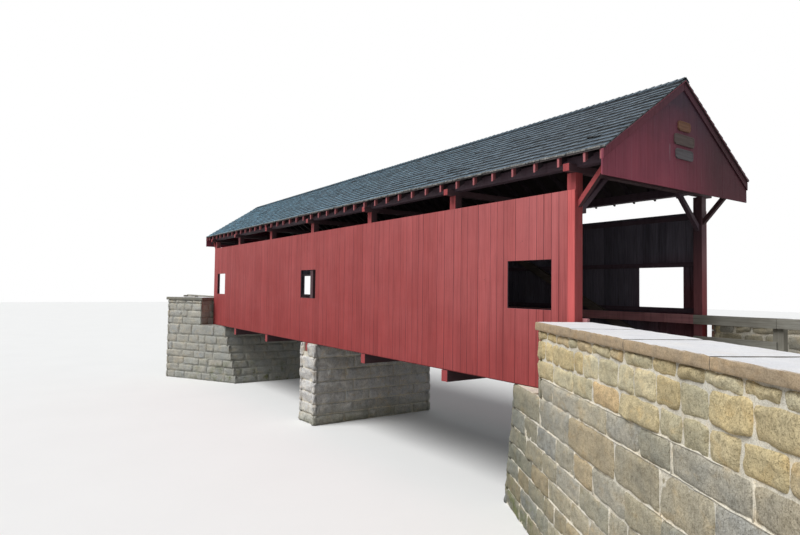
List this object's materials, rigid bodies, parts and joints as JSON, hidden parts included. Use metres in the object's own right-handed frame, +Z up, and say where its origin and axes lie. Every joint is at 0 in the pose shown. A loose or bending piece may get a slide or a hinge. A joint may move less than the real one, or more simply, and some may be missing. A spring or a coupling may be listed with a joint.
{
  "type": "covered bridge",
  "caption": "Timber queenpost covered bridge with red board siding and a shingle roof, on a stone pier, abutments and flared wing walls.",
  "frame": {"origin": "middle of the bridge in plan, at the foot of the masonry", "axes": "+X along the bridge towards the far portal, +Y towards the left wall, +Z up"},
  "size_m": [34.2578, 12.842, 8.8015],
  "materials": {
    "rubble_stone": "squared sandstone rubble with wide pale joints",
    "ashlar_stone": "rock-faced grey ashlar in courses",
    "cap_stone": "sawn pale stone slabs with a rough edge",
    "red_paint": "flat barn-red paint on rough sawn boards",
    "bare_timber": "unpainted weathered timber",
    "grey_timber": "silver-grey weathered timber",
    "shingles": "dark grey-green split wooden shingles",
    "name_board_wood": "brown varnished wood"
  },
  "bodies": {
    "root": {"abutment_far": "rubble_stone", "abutment_near": "rubble_stone", "approach_posts": "grey_timber", "approach_rails": "grey_timber", "barge_boards_far": "red_paint", "barge_boards_near": "red_paint", "bottom_chord_left": "red_paint", "bottom_chord_right": "red_paint", "braces_left": "bare_timber", "braces_right": "bare_timber", "deck": "bare_timber", "floor_beams": "red_paint", "gable_far": "red_paint", "gable_girts": "red_paint", "gable_near": "red_paint", "girts_left": "red_paint", "girts_right": "red_paint", "guard_rails": "red_paint", "hood_braces": "red_paint", "knee_braces": "red_paint", "name_boards": "name_board_wood", "pier": "ashlar_stone", "posts_left": "red_paint", "posts_right": "red_paint", "rafters_left": "red_paint", "rafters_right": "red_paint", "roof_boards_left": "bare_timber", "roof_boards_right": "bare_timber", "shingle_roof_left": "shingles", "shingle_roof_right": "shingles", "siding_left": "red_paint", "siding_right": "red_paint", "straining_beam_left": "bare_timber", "straining_beam_right": "bare_timber", "stringers": "bare_timber", "tie_beams": "red_paint", "top_plate_left": "red_paint", "top_plate_right": "red_paint", "wing_cap_far_left": "cap_stone", "wing_cap_far_right": "cap_stone", "wing_cap_near_left": "cap_stone", "wing_cap_near_right": "cap_stone", "wing_wall_far_left": "rubble_stone", "wing_wall_far_right": "rubble_stone", "wing_wall_near_left": "rubble_stone", "wing_wall_near_right": "rubble_stone"}
  },
  "joints": []
}
